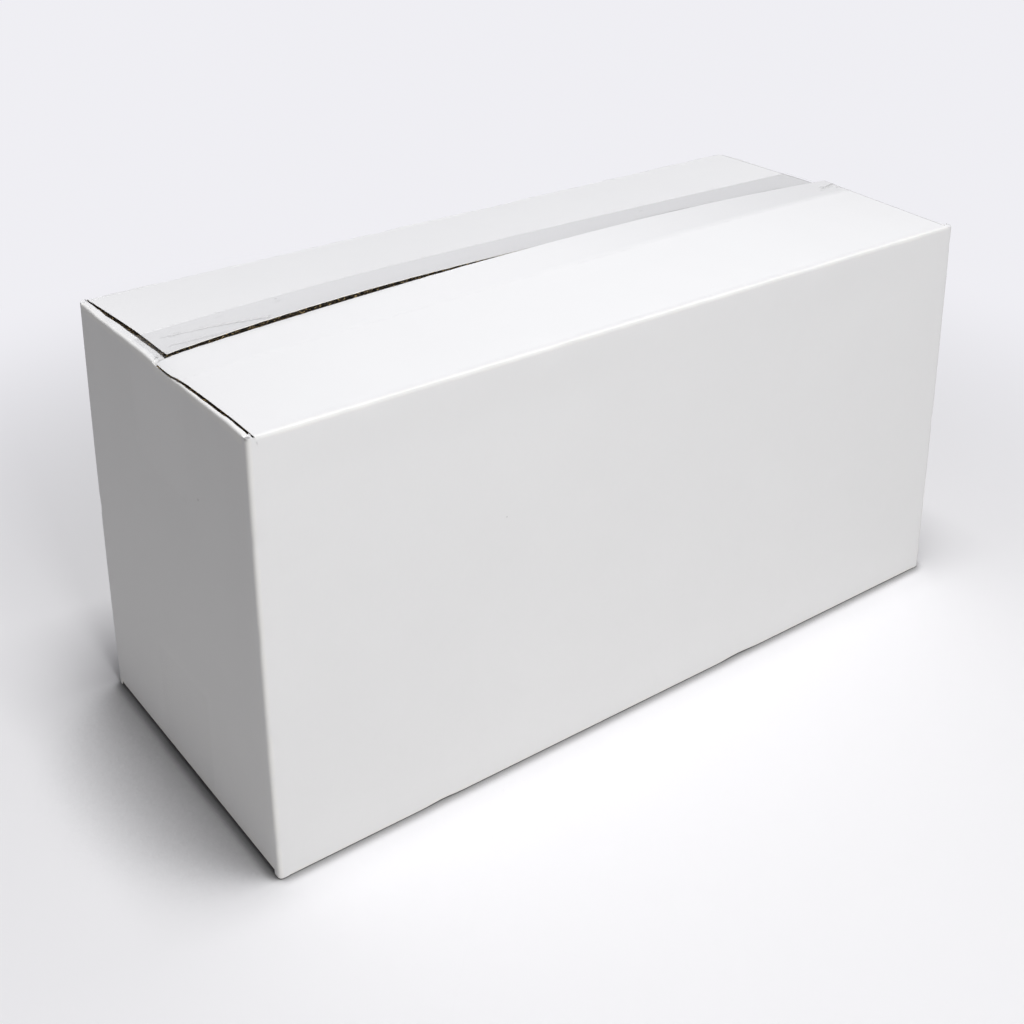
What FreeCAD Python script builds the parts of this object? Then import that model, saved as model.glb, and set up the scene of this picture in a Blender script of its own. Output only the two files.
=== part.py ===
import FreeCAD, Part
import math
import os

# A regular slotted carton, closed and taped top and bottom.
# Millimetres. X runs along the length, Y across the width, Z up.
# The origin is on the ground under the middle of the carton.
# "Front" is the long panel at -Y, "left" is the end panel at -X.

# Outside size of the folded carton
carton_length = 400.0  # over the two end panels
carton_width = 168.0  # over the two long panels
carton_height = 203.0  # from the underside of the bottom flaps to the crest of the top folds

# Corrugated board and the way it folds
board = 3.0
inside_fold_radius = 0.5
ply_clearance = 0.2  # air between two flaps that lie on each other

# Flaps. The end flaps fold first, and the long flaps close over them and meet at the seam.
slot_setback = 4.4  # from the outside of the carton to the side of a flap
end_flap_depth = 83.0  # how far an end flap reaches in from the end panel
seam_gap = 0.8  # between the free edges of the two long flaps
front_flap_flare = 3.6  # how far the top front flap's left end leans out towards the seam

# The top long flaps spring up from the end flaps: the height of each free edge over the crest
front_flap_lift = {"left": 0.6, "crown": 8.6, "right": 4.0, "crown_from_left": 240.0}
back_flap_lift = {"left": 1.3, "crown": 8.3, "right": 0.5, "crown_from_left": 136.0}
edge_stations = 17  # points that carry the curve of a free edge

# Glued joint at the back right corner: a tab on the right end panel, stuck inside the back panel
glue_tab_width = 32.0
glue_tab_end_clearance = 4.0  # from the tab's ends to the end flaps
joint_setback = 0.8  # from the outside of the carton to the back panel's cut edge

# Packing tape over both seams, folded down over the ends
tape_width = 50.0
tape_thickness = 0.06
tape_clearance = 0.2  # adhesive and the unevenness of the board, under the film
tape_tail = 55.0  # how far the tape reaches down, or up, an end panel from the crest of the folds
top_tape_offset = 2.5  # from the seam to the middle of the top tape, towards the back
top_tape_skew = 4.0  # how far the top tape wanders to the back from its left end to its right
tape_span = 5.0  # how far the tape bridges the step at the seam before it lies flat
step_blend = 0.4  # softens the line where the two top flaps change places

# Worked out from the values above
fold_radius = inside_fold_radius + board
half_length = carton_length / 2
half_width = carton_width / 2
flap_end = half_length - slot_setback
base = tape_clearance + tape_thickness
crest = base + carton_height
end_crest = crest - board - ply_clearance
end_base = base + board + ply_clearance
long_flap_depth = half_width - fold_radius - seam_gap / 2
X, Y, Z = FreeCAD.Vector(1, 0, 0), FreeCAD.Vector(0, 1, 0), FreeCAD.Vector(0, 0, 1)


def point(x, y, z):
    return FreeCAD.Vector(x, y, z)


def slab(x0, x1, y0, y1, z0, z1):
    return Part.makeBox(x1 - x0, y1 - y0, z1 - z0, point(x0, y0, z0))


def fold(centre, out_from, out_to, run):
    # A quarter turn of board round centre: its outside goes from direction out_from to out_to.
    middle = (out_from + out_to) * math.sqrt(0.5)
    outer = [centre + d * fold_radius for d in (out_from, middle, out_to)]
    inner = [centre + d * inside_fold_radius for d in (out_to, middle, out_from)]
    edges = [
        Part.Arc(*outer).toShape(),
        Part.makeLine(outer[2], inner[0]),
        Part.Arc(*inner).toShape(),
        Part.makeLine(inner[2], outer[0]),
    ]
    return Part.Face(Part.Wire(edges)).extrude(run)


# ---- The four walls ----


def long_panels():
    # Both reach up and down to the folds of the long flaps.
    low, high = base + fold_radius, crest - fold_radius
    left = fold_radius - half_length
    front = slab(left, -left, -half_width, board - half_width, low, high)
    back = slab(left, half_length - joint_setback, half_width - board, half_width, low, high)
    return [front, back]


def end_panels():
    # These stop one board lower, where the end flaps fold in under the long ones.
    low, high = end_base + fold_radius, end_crest - fold_radius
    front = fold_radius - half_width
    left = slab(-half_length, board - half_length, front, -front, low, high)
    right = slab(half_length - board, half_length, front, -front - board, low, high)
    return [left, right]


def corner_folds():
    # Three upright folds, up to the floors of the slots between the flaps.
    low, high = base + fold_radius, crest - fold_radius
    x, y = half_length - fold_radius, half_width - fold_radius
    rise = Z * (high - low)
    return [
        fold(point(-x, -y, low), -X, -Y, rise),
        fold(point(x, -y, low), -Y, X, rise),
        fold(point(-x, y, low), Y, -X, rise),
    ]


def glued_joint():
    # The fold and the tab lie one board inside the back panel, and the tab is stuck to it.
    inset = half_width - board
    x, y = half_length - fold_radius, inset - fold_radius
    low, high = end_base + fold_radius, end_crest - fold_radius
    turn = fold(point(x, y, low), X, Y, Z * (high - low))
    tab_low = end_base + board + glue_tab_end_clearance
    tab_high = end_crest - board - glue_tab_end_clearance
    tab = slab(x - glue_tab_width, x, inset - board, inset, tab_low, tab_high)
    return [turn, tab]


# ---- Flaps ----


def end_flaps():
    # Four flaps, each with its fold, that lie flat under the long ones.
    side = half_width - slot_setback
    x = half_length - fold_radius
    inner = half_length - end_flap_depth
    run = Y * (2 * side)
    pieces = []
    for out, sign in ((-X, -1), (X, 1)):
        x0, x1 = sorted((sign * x, sign * inner))
        pieces += [
            fold(point(sign * x, -side, end_crest - fold_radius), out, Z, run),
            slab(x0, x1, -side, side, end_crest - board, end_crest),
            fold(point(sign * x, -side, end_base + fold_radius), out, -Z, run),
            slab(x0, x1, -side, side, end_base, end_base + board),
        ]
    return pieces


def long_folds():
    y = half_width - fold_radius
    run = X * (2 * flap_end)
    pieces = []
    for out, sign in ((-Y, -1), (Y, 1)):
        pieces += [
            fold(point(-flap_end, sign * y, crest - fold_radius), out, Z, run),
            fold(point(-flap_end, sign * y, base + fold_radius), out, -Z, run),
        ]
    return pieces


def bottom_long_flaps():
    y, seam = half_width - fold_radius, seam_gap / 2
    front = slab(-flap_end, flap_end, -y, -seam, base, base + board)
    back = slab(-flap_end, flap_end, seam, y, base, base + board)
    return [front, back]


def edge_lift(lift, share):
    # Height of a free edge over the crest, at a share of the flap's length from its left end:
    # two half parabolas that meet level at the crown.
    crown = lift["crown_from_left"] / (2 * flap_end)
    if share < crown:
        end, span = lift["left"], crown
    else:
        end, span = lift["right"], 1 - crown
    return lift["crown"] - (lift["crown"] - end) * ((share - crown) / span) ** 2


def left_end(side, across):
    # X of a top flap's left end, at a share of its depth from the fold. Side is -1 front, 1 back.
    flare = front_flap_flare if side < 0 else 0.0
    return -flap_end - flare * across


def curve_through(points, shares):
    # A smooth edge through the points, which stand at the given shares of its length.
    curve = Part.BSplineCurve()
    curve.interpolate(Points=points, Parameters=shares)
    return curve.toShape()


def stations():
    return [k / (edge_stations - 1) for k in range(edge_stations)]


def top_long_flap(side, lift):
    # A ruled sheet from the straight fold to the lifted free edge.
    y_fold, y_seam = side * (half_width - fold_radius), side * seam_gap / 2
    hinge = Part.makeLine(point(-flap_end, y_fold, crest), point(flap_end, y_fold, crest))
    start = left_end(side, 1.0)
    edge = [
        point(start + (flap_end - start) * s, y_seam, crest + edge_lift(lift, s))
        for s in stations()
    ]
    upper = Part.makeRuledSurface(hinge, curve_through(edge, stations()))
    return upper.extrude(Z * -board)


def carton_blank():
    pieces = long_panels() + end_panels() + corner_folds() + glued_joint()
    pieces += end_flaps() + long_folds() + bottom_long_flaps()
    pieces += [top_long_flap(-1, front_flap_lift), top_long_flap(1, back_flap_lift)]
    return pieces[0].multiFuse(pieces[1:]).removeSplitter()


# ---- Tape ----


def soft_positive(value):
    # The value where it is above zero and nothing below, with a smooth turn between.
    return (value + math.sqrt(value * value + step_blend * step_blend)) / 2


def across_flap(y):
    # Share of a top flap's depth, from its fold to its free edge.
    return (half_width - fold_radius - abs(y)) / long_flap_depth


def flap_height(side, x, across):
    # Height of a top flap over the crest, at a share of its depth from the fold.
    lift = front_flap_lift if side < 0 else back_flap_lift
    left = left_end(side, across)
    share = max(0.0, (x - left) / (flap_end - left))
    return edge_lift(lift, share) * across


def top_height(x, y):
    # Height of the lid under the tape over the crest. Next to the seam the tape comes straight
    # down from the flap that stands higher.
    side = -1 if y < 0 else 1
    step = soft_positive(flap_height(-side, x, 1.0) - flap_height(side, x, 1.0))
    near = max(0.0, 1 - (abs(y) + seam_gap / 2) / (seam_gap + tape_span))
    return flap_height(side, x, across_flap(y)) + step * near


def top_lid(y, skew):
    # The lid along the tape's line: x, height over the crest, and how far the film stands out
    # along x, as a share of its clearance. It holds to the front flap's leaning end as far as
    # the other side of the seam.
    y_left = y - skew / 2
    left = left_end(-1 if y_left <= seam_gap / 2 else 1, across_flap(y_left))
    places = [(left + (flap_end - left) * share, 2 * share - 1) for share in stations()]
    return [(x, top_height(x, y + skew * x / carton_length), lean) for x, lean in places]


def tape_face(y, skew, up, level, lid, out):
    # Corners of one side of the tape along a line over the carton, from the foot of its left tail
    # to the foot of its right one, out from the board. Up is 1 for the top tape, -1 for the bottom.
    wall = half_length + out
    foot = level - up * tape_tail
    shoulder = level - up * (board + ply_clearance + fold_radius / 2)
    over = [(x + out * lean, level + up * (height + out)) for x, height, lean in lid]
    line = [(-wall, foot), (-wall, shoulder)] + over + [(wall, shoulder), (wall, foot)]
    return [point(x, y + skew * x / carton_length, z) for x, z in line]


def tape_section(inner, outer):
    # The cut through the tape along a line, as one closed outline.
    return Part.Face(Part.makePolygon(inner + outer[::-1] + inner[:1]))


def triangle(a, b, c):
    return Part.Face(Part.makePolygon([a, b, c, a]))


def film_strip(near, far):
    # The surface between two lines of points, in flat triangles. Each pair meets along the higher
    # diagonal, so that the film stays clear of the lid between the points.
    faces = []
    for a, b, c, d in zip(near, near[1:], far[1:], far):
        if a.z + c.z > b.z + d.z:
            faces += [triangle(a, b, c), triangle(a, c, d)]
        else:
            faces += [triangle(a, b, d), triangle(b, c, d)]
    return faces


def top_tape():
    edge = seam_gap / 2
    landing = edge + tape_span
    reach, skew = tape_width / 2, top_tape_skew
    lines = [(top_tape_offset - reach, skew), (-landing, 0.0), (-edge, 0.0)]
    lines += [(edge, 0.0), (landing, 0.0), (top_tape_offset + reach, skew)]
    far_out = tape_clearance + tape_thickness
    inner = [tape_face(y, s, 1, crest, top_lid(y, s), tape_clearance) for y, s in lines]
    outer = [tape_face(y, s, 1, crest, top_lid(y, s), far_out) for y, s in lines]
    faces = [tape_section(inner[0], outer[0]), tape_section(inner[-1], outer[-1])]
    for skin in (inner, outer):
        for near, far in zip(skin, skin[1:]):
            faces += film_strip(near, far)
    for foot in (0, -1):
        faces += film_strip([line[foot] for line in inner], [line[foot] for line in outer])
    shell = Part.makeShell(faces)
    shell.sewShape()
    return Part.makeSolid(shell).removeSplitter()


def bottom_tape():
    lid = [(-flap_end, 0.0, -1.0), (flap_end, 0.0, 1.0)]
    far_out = tape_clearance + tape_thickness
    inner = tape_face(-tape_width / 2, 0.0, -1, base, lid, tape_clearance)
    outer = tape_face(-tape_width / 2, 0.0, -1, base, lid, far_out)
    return tape_section(inner, outer).extrude(Y * tape_width)


def main():
    os.makedirs("parts", exist_ok=True)
    nodes = {"carton_blank": carton_blank, "top_tape": top_tape, "bottom_tape": bottom_tape}
    for name, make in nodes.items():
        shape = make()
        box = shape.BoundBox
        print(name, "solids", len(shape.Solids), "valid", shape.isValid(), "volume", round(shape.Volume, 1))
        print("   x", box.XMin, box.XMax, "y", box.YMin, box.YMax, "z", box.ZMin, box.ZMax)
        shape.exportStep("parts/" + name + ".step")


main()
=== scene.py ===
import math
from functools import partial

import bpy
from mathutils import Matrix, Vector, noise


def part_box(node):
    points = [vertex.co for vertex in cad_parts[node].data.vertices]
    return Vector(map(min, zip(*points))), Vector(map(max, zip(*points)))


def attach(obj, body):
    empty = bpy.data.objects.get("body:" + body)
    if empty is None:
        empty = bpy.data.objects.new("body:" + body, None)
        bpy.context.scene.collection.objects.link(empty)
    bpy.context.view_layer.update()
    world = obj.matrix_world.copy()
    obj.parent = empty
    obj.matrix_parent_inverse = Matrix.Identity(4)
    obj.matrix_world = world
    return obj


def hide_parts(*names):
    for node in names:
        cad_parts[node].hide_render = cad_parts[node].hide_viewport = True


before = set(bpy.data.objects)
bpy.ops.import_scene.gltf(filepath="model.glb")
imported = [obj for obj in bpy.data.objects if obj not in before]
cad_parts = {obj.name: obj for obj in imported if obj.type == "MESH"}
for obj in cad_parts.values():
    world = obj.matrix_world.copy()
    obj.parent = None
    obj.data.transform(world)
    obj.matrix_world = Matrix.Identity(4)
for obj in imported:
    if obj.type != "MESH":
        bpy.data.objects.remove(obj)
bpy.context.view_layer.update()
mm = 0.001  # sizes below are in millimetres

boardLow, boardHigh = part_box("carton_blank")
halfLength, halfWidth = boardHigh.x / mm, boardHigh.y / mm
base = boardLow.z / mm  # underside of the bottom flaps

# One folded sheet of single wall board. X runs along the carton, Y across it, front is -Y, left is -X.
carton = {
    "height": 203.0,  # from the underside of the bottom flaps to the crest of the top folds
    "board": 3.0,
    "bend": 3.5,  # outside radius of a fold
    "plyAir": 0.2,  # between flaps that lie on each other
    "slot": 4.4,  # from the outside of the carton to the side of a flap
    "endFlap": 83.0,
    "seamGap": 0.8,
    # The free edges' height at the left end, the crown and the right end, and how far the crown is from the left
    "lift": {-1: (0.6, 8.6, 4.0, 240.0), 1: (2.0, 8.3, 0.5, 136.0)},  # front, back
    "dipReach": (3.5, 6.0),  # how far in from its left and right end a flap is pulled down
    "glueTab": 32.0,
    "jointGap": 0.8,  # the back panel's cut edge stops short of the right end
    "crisp": (9.0, 3.4),  # how square the front and back folds are, where 2 is a true arc
    "endCrisp": (12.0, 3.0),  # the same at the left and right end
    "endSteps": 22,
    "endSpread": 0.7,
    "earGap": 0.35,  # from the top of an upright fold to the crest
    "crush": 10.0,  # how far a crushed flap end reaches in
    "uneven": (0.55, 7.0),  # how much the long top folds change along their length, and how fast
    "ragged": (0.14, 6.0),  # the same for the seam edges' height
    "crinkle": (0.07, 9.0),  # and for the raised end folds
    "rimEdge": 0.7,  # how softly a raised end fold ends
    "darkenedEnds": (-0.7, -1.0),  # how dark the long flaps' right ends are made, the second a painted shadow where the back one goes under the tape
    "lip": 0.11,  # a cut liner's share of the board's thickness
    "cell": 4.0,  # mesh size
    "bendSteps": 10,
    "wave": (0.3, 85.0),  # how far the panels sink in slow waves, and their length
    "ripple": (0.06, 14.0),  # the same for the small ones
    "lean": (1.1, 1.9),  # how far the left and right end panels lean in at the top and out at the bottom
    "bow": (0.5, 0.45),  # how far their upright edges bow out
    "blankSpan": 1250.0,  # the flat blank on the piece's own map, from 0 to 1
    "flutePitch": 6.4,
}

# Along each end, from the front fold to the back one. At each y: how far the top long flap is pulled down, how
# much thinner it is pressed, how far the end fold stands up beside it, how wide that rim is, where the flap ends.
leftEnds = [
    (-80.5, 0.0, 1.15, 2.9, 2.3, 3.3), (-74.0, 0.0, 1.2, 3.3, 2.1, 3.3), (-66.0, 0.0, 1.3, 3.55, 1.9, 3.3),
    (-54.0, 0.1, 1.4, 3.25, 1.6, 3.0), (-42.0, 0.2, 1.4, 2.95, 1.4, 2.65), (-36.0, 0.35, 1.5, 2.95, 1.2, 2.5),
    (-28.0, 0.5, 1.7, 2.95, 1.0, 2.3), (-24.0, 0.6, 1.8, 2.9, 0.8, 1.95), (-20.0, 0.7, 2.0, 2.7, 0.6, 1.6),
    (-16.5, 0.85, 2.1, 2.4, 0.3, 0.95), (-12.0, 1.0, 2.1, 2.3, 0.25, 0.7), (-4.0, 1.15, 2.1, 2.3, 0.25, 0.75),
    (-0.1, 1.5, 2.0, 2.6, 0.25, 1.1), (0.1, 0.2, 1.4, 2.6, 0.25, 6.2), (1.5, 0.2, 1.4, 3.1, 5.5, 6.1),
    (4.0, 0.15, 1.35, 3.35, 5.5, 6.0), (9.0, 0.1, 1.3, 3.5, 5.3, 5.9), (20.0, 0.0, 1.2, 3.4, 4.85, 6.0),
    (33.0, 0.0, 1.2, 3.1, 4.75, 5.95), (46.0, 0.0, 1.2, 2.8, 4.5, 5.5), (60.0, 0.0, 1.2, 2.55, 4.1, 4.9),
    (75.0, 0.0, 1.15, 2.7, 3.5, 4.1), (80.5, 0.0, 1.15, 2.85, 3.2, 3.8),
]
rightEnds = [
    (-80.5, 0.0, 1.15, 2.9, 3.8), (-12.0, 0.3, 1.2, 2.9, 3.8), (0.0, 0.2, 1.2, 2.8, 3.8),
    (12.0, 0.0, 1.2, 2.9, 3.8), (80.5, 0.0, 1.15, 2.9, 3.8),
]
endUnder = 0.5  # how far an end flap stands up under the long flaps
bottomBulge = 2.7  # how far the bottom end folds stand down

# Small knocks: x, y, z, reach, depth
knocks = [
    (-199.6, -83.6, 68.0, 4.0, 0.3), (-199.6, -83.6, 57.0, 3.0, 0.3),
    (-199.8, -83.2, 118.0, 7.0, 0.25), (-199.5, -83.8, 160.0, 6.0, 0.3),
    (-199.4, -83.7, 20.0, 5.0, 0.35), (199.4, -83.6, 193.0, 5.0, 0.2),
    (199.5, -83.5, 92.0, 6.0, 0.3), (-60.0, -83.0, 203.0, 9.0, 0.25),
    (95.0, -83.0, 203.0, 12.0, 0.3), (-150.0, -83.0, 203.0, 6.0, 0.25),
    (30.0, 83.6, 203.0, 10.0, 0.4), (-199.5, 60.0, 199.0, 9.0, 0.4),
    (-199.5, -52.0, 199.0, 7.0, 0.35), (199.5, 40.0, 199.0, 9.0, 0.4),
    (-199.6, 83.0, 100.0, 6.0, 0.3), (-120.0, -83.8, 2.0, 10.0, 0.3),
    (60.0, -83.8, 2.0, 14.0, 0.35),
]

board, bend = carton["board"], carton["bend"]
crest = base + carton["height"]
endCrest = crest - board - carton["plyAir"]
endBase = base + board + carton["plyAir"]
flapEnd = halfLength - carton["slot"]
hingeX, hingeY = halfLength - bend, halfWidth - bend  # where the folds start
seamY = carton["seamGap"] / 2


def spread(low, high, step):
    # Even stations from low to high, about a step apart.
    count = max(1, round((high - low) / step))
    return [low + (high - low) * k / count for k in range(count + 1)]


def held(t):
    return min(1.0, max(0.0, t))


def smooth(t):
    t = held(t)
    return t * t * (3 - 2 * t)


def between(table, y, column):
    # A value out of a table whose first column is y.
    for low, high in zip(table, table[1:]):
        if y <= high[0]:
            return low[column] + (high[column] - low[column]) * max(0.0, y - low[0]) / (high[0] - low[0])
    return table[-1][column]


def edgeLift(lift, share):
    # Height of a top flap's free edge: two half parabolas that meet level at the crown.
    left, crown, right, crownAt = lift
    crownShare = crownAt / (2 * flapEnd)
    end, span = (left, crownShare) if share < crownShare else (right, 1 - crownShare)
    return crown - (crown - end) * ((share - crownShare) / span) ** 2


def flapY(side, across):
    # Y at a share of a long flap's depth, from its fold to the seam.
    return side * (hingeY + (seamY - hingeY) * across)


def acrossFlap(y):
    # The way back: a share of the flap's depth.
    return (hingeY - abs(y)) / (hingeY - seamY)


def leftEnd(side, across):
    # The front flap's left end leans out over the end fold, and the back one draws in towards the seam.
    return between(leftEnds, flapY(side, across), 5) - halfLength


def flapHeight(side, x, across):
    # A top flap's height over the crest, at a share of its depth from the fold.
    left = leftEnd(side, across)
    share = held((x - left) / (flapEnd - left))
    y = flapY(side, across)
    reachLeft, reachRight = carton["dipReach"]
    dip = (between(leftEnds, y, 1) * math.exp(-max(0.0, x - left) / reachLeft)
           + between(rightEnds, y, 1) * math.exp(-max(0.0, flapEnd - x) / reachRight))
    return edgeLift(carton["lift"][side], share) * across - dip


def thinned(side, x, across):
    # Share of the board's thickness that a top flap keeps next to its crushed ends.
    y = flapY(side, across)
    left = between(leftEnds, y, 2) * (1 - smooth((x - leftEnd(side, across)) / carton["crush"]))
    right = between(rightEnds, y, 2) * (1 - smooth((flapEnd - x) / carton["crush"]))
    return 1 - (left + right) / board


def standing(side, y, inward, deep, top):
    # How far an end fold and its flap stand out of their plane, at a distance in from the end panel and a depth in
    # the board.
    outer = max(0.0, 1 - deep / board)
    if not top:
        return bottomBulge * math.sin(math.pi * min(1.0, inward / (carton["slot"] - 0.2)) ** 0.7) * outer
    ends = leftEnds if side < 0 else rightEnds
    swing, length = carton["crinkle"]
    crinkle = 1 + swing * noise.noise(Vector((y / length, side * 3.0, 5.0)))
    rim = 1 - smooth((inward - between(ends, y, 4)) / carton["rimEdge"])
    under = endUnder * (1 - smooth((inward - carton["slot"]) / carton["crush"]))
    return (under + (between(ends, y, 3) * crinkle - under) * rim) * outer


class Sheet:
    # Corners of the sheet in pairs, outside and inside, welded where patches meet.
    def __init__(self):
        self.outside, self.inside, self.flat, self.bent = [], [], [], []
        self.found, self.faces, self.cuts = {}, [], {}

    def corner(self, out, into, flat, bent):
        key = tuple(round(c, 3) for c in (*out, *into))
        if key not in self.found:
            self.found[key] = len(self.outside)
            self.outside.append(out)
            self.inside.append(into)
            self.flat.append(flat)
            self.bent.append(bent)
        return self.found[key]

    def patch(self, us, vs, place, flat, bent=None, sink=None, cuts=(0.4, 0.4, 0.4, 0.4)):
        # A grid of cells. place gives a point at a depth in the board, flat its place on the blank, and sink how
        # far it sinks in waves. cuts are how far the fluted layer is set back along its four sides, less than 0
        # where the liner is rolled over the edge.
        rows = []
        for v in vs:
            row = []
            for u in us:
                top = place(u, v, 0.0)
                deep = knockDepth(top) + (sink(u, v) * slowWave(top) if sink else 0.0)
                fold = bent(u, v) if bent else 0.0
                row.append(self.corner(place(u, v, deep), place(u, v, deep + board), flat(u, v), fold))
            rows.append(row)
        for j in range(len(vs) - 1):
            for i in range(len(us) - 1):
                a, b, c, d = rows[j][i], rows[j][i + 1], rows[j + 1][i + 1], rows[j + 1][i]
                p, q, r = self.outside[a], self.outside[b], self.outside[d]
                outward = (q - p).cross(r - p).dot(self.outside[a] - self.inside[a]) > 0
                self.faces.append((a, b, c, d) if outward else (a, d, c, b))
        sides = ([row[0] for row in rows], [row[-1] for row in rows], rows[0], rows[-1])
        for line, cut in zip(sides, cuts):
            for a, b in zip(line, line[1:]):
                self.cuts[frozenset((a, b))] = cut


def knockDepth(p):
    deep = 0.0
    for x, y, z, reach, depth in knocks:
        gap = (p - Vector((x, y, z))).length
        if gap < reach:
            deep += depth * (1 - (gap / reach) ** 2) ** 2
    return deep


def slowWave(p):
    (deep, long), (fine, short) = carton["wave"], carton["ripple"]
    slow = noise.noise(p / long + Vector((3.1, 7.7, 1.3)))
    return deep * (0.8 + slow) + fine * (1 + noise.noise(p / short))


def fade(position, low, high, reach=22.0):
    # 0 at both ends of a panel, 1 a little way in.
    return smooth(min(position - low, high - position) / reach)


def foldPoint(share, deep, crisp):
    # A quarter turn of board: how far out and how far up a point is, at a depth in the board. The
    # outside liner is creased squarer than a true arc, more so where crisp is high.
    cosine, sine = max(0.0, math.cos(share * math.pi / 2)), math.sin(share * math.pi / 2)
    outer = bend / (cosine ** crisp + sine ** crisp) ** (1 / crisp)
    radius = outer + (bend - board - outer) * deep / board
    return radius * cosine, radius * sine


def nearEnds(low, high, step):
    # Stations that come closer together next to both ends.
    return [low, low + 0.8, low + 1.8] + spread(low + 3.0, high - 3.0, step) + [high - 1.8, high - 0.8, high]


def foldBlank():
    sheet = Sheet()
    patch = sheet.patch
    turn = [k / carton["bendSteps"] for k in range(carton["bendSteps"] + 1)]
    endTurn = [k / carton["endSteps"] for k in range(carton["endSteps"] + 1)]
    arc = bend * math.pi / 2
    longLow, longHigh = base + bend, crest - bend
    endLow, endHigh = endBase + bend, endCrest - bend
    walls = [longLow] + spread(endLow, endHigh, carton["cell"]) + [longHigh]
    ears = [base + carton["earGap"]] + walls + [crest - carton["earGap"]]
    along = nearEnds(-flapEnd, flapEnd, carton["cell"])
    strip = carton["slot"] - bend  # flat board between an upright fold and the side of a flap
    sideOfEnd = halfWidth - carton["slot"]
    jointY = halfWidth - board - bend  # where the glued corner starts
    jointSide = jointY - strip

    # Where each panel starts along the flat blank, after the glue tab
    rightStart = carton["glueTab"] + arc
    frontStart = rightStart + jointY + hingeY + arc
    leftStart = frontStart + 2 * hingeX + arc
    backStart = leftStart + 2 * hingeY + arc
    flapReach = hingeY - seamY
    bottomStart = flapReach + arc - longLow

    def onBlank(flat, start=0.0, step=1.0):
        # Gives a point of a patch its place on the blank's own map.
        margin, span = 5, carton["blankSpan"]
        return lambda u, v: ((flat(u) + margin) / span, (start + step * v + bottomStart + margin) / span)

    def ridge(station, share):
        return math.sin(share * math.pi)

    # Long panels with their folds and flaps
    for side, crisp in zip((-1, 1), carton["crisp"]):
        flatX = (lambda x: frontStart + hingeX - x) if side < 0 else (lambda x: backStart + x + hingeX)
        columns = along if side < 0 else along + [halfLength - carton["jointGap"]]

        def wall(x, z, deep):
            return Vector((x, side * (halfWidth - deep), z))

        def topFold(x, t, deep):
            swing, length = carton["uneven"]
            uneven = crisp * (1 + swing * noise.noise(Vector((x / length, side * 5.0, 0.5))))
            out, up = foldPoint(t, deep, uneven)
            risen = math.sqrt(foldPoint(t, 0.0, uneven)[1] / bend)
            shift = (leftEnd(side, 0.0) + flapEnd) * risen * (flapEnd - x) / (2 * flapEnd)
            return Vector((x + shift, side * (hingeY + out), longHigh + up))

        def bottomFold(x, t, deep):
            out, up = foldPoint(t, deep, crisp)
            return Vector((x, side * (hingeY + out), longLow - up))

        def topFlap(x, a, deep):
            left = leftEnd(side, a)
            place = left + (flapEnd - left) * (x + flapEnd) / (2 * flapEnd)
            swing, length = carton["ragged"]
            rough = swing * noise.noise(Vector((x / length, side * 4.0, 2.0))) * smooth((a - 0.9) / 0.1)
            height = flapHeight(side, place, a) * smooth(a / 0.03) + rough
            pressed = 1 - (1 - thinned(side, place, a)) * smooth(a / 0.05)
            return Vector((place, flapY(side, a), crest + height - deep * pressed))

        def bottomFlap(x, a, deep):
            return Vector((x, flapY(side, a), base + deep))

        def endMark(x, a):
            # The very end of a flap, less than 0 where it is painted darker: darkest where the back flap goes under
            # the tape, a painted shadow.
            if x < flapEnd - 0.1:
                return 0.0
            return carton["darkenedEnds"][a > 0.65 and side > 0]

        patch(columns, walls, wall, onBlank(flatX), cuts=(0.4, 0.8, 0.4, 0.4),
              sink=lambda x, z: fade(x, -flapEnd, flapEnd) * fade(z, longLow, longHigh))
        foldCuts, flapCuts = (2.4, 2.4, 0, 0), (4.0, 4.0, 0, 11.0)
        patch(along, turn, topFold, onBlank(flatX, longHigh, arc), bent=ridge, cuts=foldCuts)
        patch(along, turn, bottomFold, onBlank(flatX, longLow, -arc), bent=ridge, cuts=foldCuts)
        rows = [0.0, 0.015, 0.03, 0.05] + [a / flapReach for a in spread(8.0, flapReach - 12.0, carton["cell"])]
        rows += [1 - k / flapReach for k in (9.0, 6.0, 3.0, 1.0, 0.0)]
        patch(along, rows, topFlap, onBlank(flatX, longHigh + arc, flapReach), bent=endMark, cuts=flapCuts)
        patch(along, rows, bottomFlap, onBlank(flatX, longLow - arc, -flapReach), cuts=flapCuts)

    # End panels with their folds and flaps
    for side, crisp in zip((-1, 1), carton["endCrisp"]):
        flatY = (lambda y: leftStart + y + hingeY) if side < 0 else (lambda y: rightStart + jointY - y)
        highSide = sideOfEnd if side < 0 else jointSide
        across = sorted(spread(-sideOfEnd, highSide, carton["cell"]) + [-1.5, 1.5])
        reach = carton["endFlap"] - bend

        def wall(y, z, deep):
            return Vector((side * (halfLength - deep), y, z))

        def widened(y, share):
            # Towards its crest an end fold spreads over the ends of the upright folds beside it.
            return y + math.copysign(carton["endSpread"] * share * smooth((abs(y) - 60.0) / 16.0), y)

        def topFold(y, t, deep):
            out, up = foldPoint(t, deep, crisp)
            outer, height = foldPoint(t, 0.0, crisp)
            rise = standing(side, y, bend - outer, deep, True)
            wide = widened(y, (height / bend) ** 4)
            return Vector((side * (hingeX + out), wide, endHigh + up + rise * height / bend))

        def bottomFold(y, t, deep):
            out, up = foldPoint(t, deep, crisp)
            drop = standing(side, y, bend - foldPoint(t, 0.0, crisp)[0], deep, False)
            return Vector((side * (hingeX + out), y, endLow - up - drop))

        def topFlap(y, s, deep):
            rise = standing(side, y, bend + s, deep, True)
            return Vector((side * (hingeX - s), widened(y, 1 - smooth(s / 6.0)), endCrest - deep + rise))

        def bottomFlap(y, s, deep):
            drop = standing(side, y, bend + s, deep, False)
            return Vector((side * (hingeX - s), y, endBase + deep - drop))

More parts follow.
